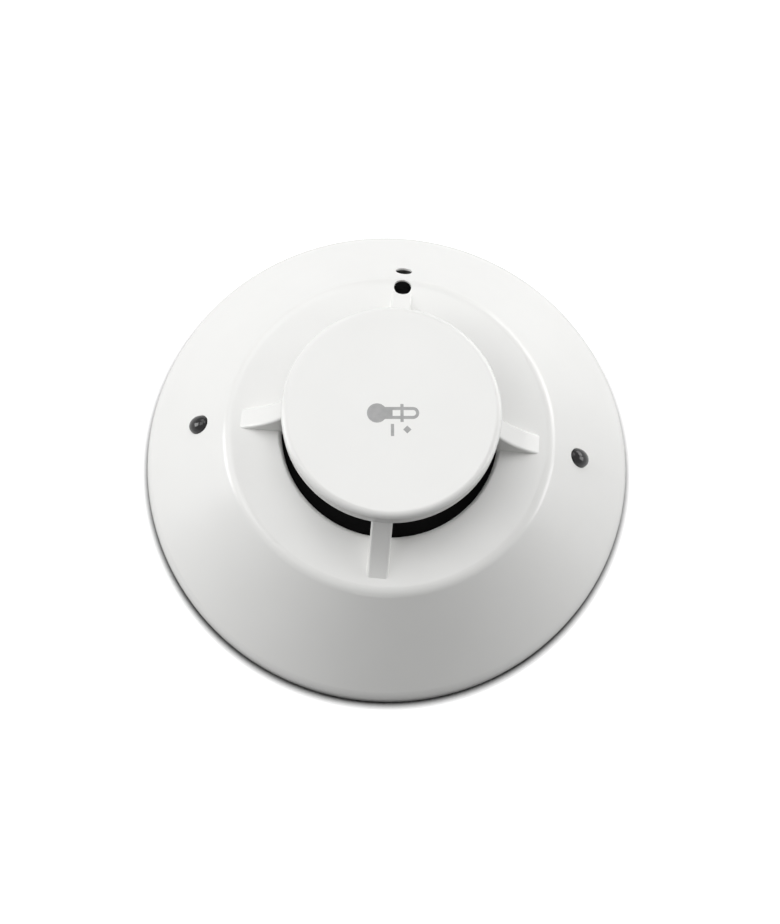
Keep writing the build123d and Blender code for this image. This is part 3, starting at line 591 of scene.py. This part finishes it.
@dataclass(frozen=True)
class MountingBase(SubAssembly):
    """Base that stays on the ceiling, with its terminals."""

    nodes: tuple[str, ...] = ("mounting_base", "terminal_screws",
                              *(f"terminal_strip_{number}" for number in QUARTERS),
                              *(f"wire_clamp_{number}" for number in QUARTERS))


# ---------------------------------------------------------------------------------------------
# Studio
# ---------------------------------------------------------------------------------------------
@dataclass(frozen=True)
class SoftBox:
    """Square soft light that faces the detector, with its angles in degrees and its power in watts."""

    name: str
    azimuth: float
    elevation: float
    size: float
    power: float
    distance: float = 1.2

    def place(self, target: Vector) -> None:
        """Hangs the light.

        Args:
            target: Point that the light faces.
        """
        lamp = bpy.data.lights.new(self.name, "AREA")
        lamp.shape = "SQUARE"
        lamp.size = self.size
        lamp.energy = self.power
        box = bpy.data.objects.new(self.name, lamp)
        turn, rise = math.radians(self.azimuth), math.radians(self.elevation)
        away = Vector((math.sin(turn) * math.cos(rise), math.cos(turn) * math.cos(rise), math.sin(rise)))
        box.location = target + away * self.distance
        box.rotation_euler = away.to_track_quat("Z", "Y").to_euler()
        bpy.context.scene.collection.objects.link(box)
        LOG.info("hung %s at %.1f W", self.name, self.power)


@dataclass(frozen=True)
class Studio:
    """White floor, soft lights and the camera, with angles in degrees and lengths in metres."""

    floor_half: float = 1.0
    floor_drop_mm: float = 0.05
    paper: str = "C8C8C8"
    # Colour of the painted contact shadow beside the object.
    painted_contact_shadow: str = "080808"
    paper_for_bounces: str = "303030"
    paper_glow: float = 0.8
    # Aim, reach and fade of the painted contact shadow; mirrored rays see a wider one, a painted dark
    # reflection.
    painted_shadow_aim: tuple[float, float, float] = (0.35, 1.0, 0.25)
    painted_shadow_mm: float = 2.2
    mirrored_painted_shadow_mm: float = 8.0
    painted_shadow_open: float = 0.62
    ambient: float = 0.2
    distance: float = 0.300
    elevation: float = 73.6
    roll: float = 5.0
    aim_height: float = 0.020
    aim_right: float = 0.00014
    aim_up: float = -0.00483
    lens: float = 56.57
    sensor: float = 36.0
    clip_start: float = 0.01
    boxes: tuple[SoftBox, ...] = (
        SoftBox("overhead_box", azimuth=0, elevation=70, size=0.7, power=3.2),
        SoftBox("far_left_box", azimuth=-35, elevation=40, size=0.7, power=2.8),
        SoftBox("left_low_box", azimuth=-90, elevation=12, size=0.5, power=5.0),
        SoftBox("left_high_box", azimuth=-90, elevation=50, size=0.7, power=3.5),
        SoftBox("far_right_box", azimuth=35, elevation=15, size=0.5, power=2.3),
        SoftBox("right_box", azimuth=60, elevation=15, size=0.5, power=3.5),
        SoftBox("right_low_box", azimuth=90, elevation=12, size=0.5, power=3.3),
    )

    def build(self) -> None:
        """Builds the floor, the world, the lights and the camera."""
        self.make_floor()
        self.make_world()
        target = Vector((0, 0, self.aim_height))
        for box in self.boxes:
            box.place(target)
        self.make_camera(target)

    def sees_white(self, tree: bpy.types.NodeTree, rays: bpy.types.Node) -> bpy.types.NodeSocket:
        """Finds the rays that see a white background: from the camera, mirrored or through glass.

        Args:
            tree: Node tree that takes the nodes.
            rays: The tree's Light Path node.

        Returns:
            One for those rays and zero for all others.
        """
        seen = rays.outputs["Is Camera Ray"]
        for kind in ("Is Glossy Ray", "Is Transmission Ray"):
            seen = add_node(tree, "ShaderNodeMath", {0: seen, 1: rays.outputs[kind]},
                            {"operation": "MAXIMUM"})
        return seen

    def paper_material(self) -> bpy.types.Material:
        """Makes the floor's finish: matte white paper with a painted contact shadow just beside the object.

        Returns:
            The finished material.
        """
        material = bpy.data.materials.new("Paper sweep, matte white")
        material.use_nodes = True
        tree = material.node_tree
        tree.nodes.remove(tree.nodes["Principled BSDF"])
        rays = add_node(tree, "ShaderNodeLightPath").node
        # Painted contact shadow: the paper and its glow are darkened in the last millimetres before the
        # object, on the sides turned from the light; mirrored rays see it reach farther, which paints a dark
        # reflection into the cover's rim.
        painted_shadow_reach = add_node(tree, "ShaderNodeMapRange", {
            0: rays.outputs["Is Camera Ray"], 1: 0.0, 2: 1.0, 3: self.mirrored_painted_shadow_mm * MM,
            4: self.painted_shadow_mm * MM})
        turned = Vector(self.painted_shadow_aim).normalized()
        painted_shadow_ao = add_node(tree, "ShaderNodeAmbientOcclusion", {"Distance": painted_shadow_reach, "Normal": turned},
                          {"samples": 16}, output="AO")
        outside_painted_shadow = add_node(tree, "ShaderNodeMapRange", {
            0: painted_shadow_ao, 1: self.painted_shadow_open, 2: 1.0, 3: 0.0, 4: 1.0})
        tone = add_node(tree, "ShaderNodeMix", {
            0: outside_painted_shadow, 6: linear(self.painted_contact_shadow), 7: linear(self.paper)},
            {"data_type": "RGBA"}, output=2)
        # The floor's glow is cut by the same painted contact shadow.
        glow = add_node(tree, "ShaderNodeMix", {0: outside_painted_shadow, 6: BLACK, 7: WHITE}, {"data_type": "RGBA"},
                        output=2)
        paper = add_node(tree, "ShaderNodeBsdfDiffuse", {"Color": tone})
        lift = add_node(tree, "ShaderNodeEmission", {"Color": glow, "Strength": self.paper_glow})
        lit = add_node(tree, "ShaderNodeAddShader", {0: paper, 1: lift})
        dark = add_node(tree, "ShaderNodeBsdfDiffuse", {"Color": linear(self.paper_for_bounces)})
        mixed = add_node(tree, "ShaderNodeMixShader", {0: self.sees_white(tree, rays), 1: dark, 2: lit})
        tree.links.new(mixed, tree.nodes["Material Output"].inputs["Surface"])
        return material

    def make_floor(self) -> None:
        """Lays the white floor, which shows white and keeps the object's shadow."""
        half = self.floor_half
        mesh = bmesh.new()
        outline = ((-half, -half), (half, -half), (half, half), (-half, half))
        mesh.faces.new([mesh.verts.new((x, y, 0)) for x, y in outline])
        data = bpy.data.meshes.new("studio_floor")
        mesh.to_mesh(data)
        mesh.free()
        data.materials.append(self.paper_material())
        floor = bpy.data.objects.new("studio_floor", data)
        floor.location.z = CAD_BOX[0][2] - self.floor_drop_mm * MM
        bpy.context.scene.collection.objects.link(floor)

    def make_world(self) -> None:
        """Sets an even ambient light that shows white to the camera."""
        world = bpy.data.worlds.new("studio_air")
        world.use_nodes = True
        bpy.context.scene.world = world
        tree = world.node_tree
        rays = add_node(tree, "ShaderNodeLightPath").node
        strength = add_node(tree, "ShaderNodeMapRange", {
            0: self.sees_white(tree, rays), 1: 0.0, 2: 1.0, 3: self.ambient, 4: 1.0})
        air = tree.nodes["Background"]
        air.inputs["Color"].default_value = WHITE
        tree.links.new(strength, air.inputs["Strength"])

    def make_camera(self, target: Vector) -> None:
        """Places the camera and makes it the scene's own.

        Args:
            target: Point that the camera's distance and elevation are measured from.
        """
        rise = math.radians(self.elevation)
        away = Vector((0, -math.cos(rise), math.sin(rise)))
        data = bpy.data.cameras.new("studio_camera")
        data.lens = self.lens
        data.sensor_width = self.sensor
        data.clip_start = self.clip_start
        camera = bpy.data.objects.new("studio_camera", data)
        bpy.context.scene.collection.objects.link(camera)
        upright = away.to_track_quat("Z", "Y").to_matrix()
        rolled = upright @ Matrix.Rotation(math.radians(self.roll), 3, "Z")
        aim = target + rolled @ Vector((self.aim_right, self.aim_up, 0))
        eye = target + away * self.distance
        line = (eye - aim).normalized()
        right = (rolled @ Vector((0, 1, 0))).cross(line).normalized()
        turn = Matrix((right, line.cross(right), line)).transposed()
        camera.matrix_world = Matrix.Translation(eye) @ turn.to_4x4()
        bpy.context.scene.camera = camera


def main() -> None:
    """Builds the finishes, the sub-assemblies and the studio, in that order.

    Raises:
        ValueError: A CAD node belongs to no sub-assembly, or to two.
    """
    logging.basicConfig(level=logging.INFO, format="%(name)s: %(message)s")
    bpy.context.scene.view_settings.view_transform = "Standard"
    finishes = Finishes()
    units = (Cover(), SensingElement(), Electronics(), AddressSwitches(), RearChassis(), MountingBase())
    if sorted(name for unit in units for name in unit.nodes) != sorted(SLOT_OF):
        raise ValueError("each CAD node belongs to one sub-assembly")
    for unit in units:
        unit.build(finishes)
    Studio().build()


if __name__ == "__main__":
    main()
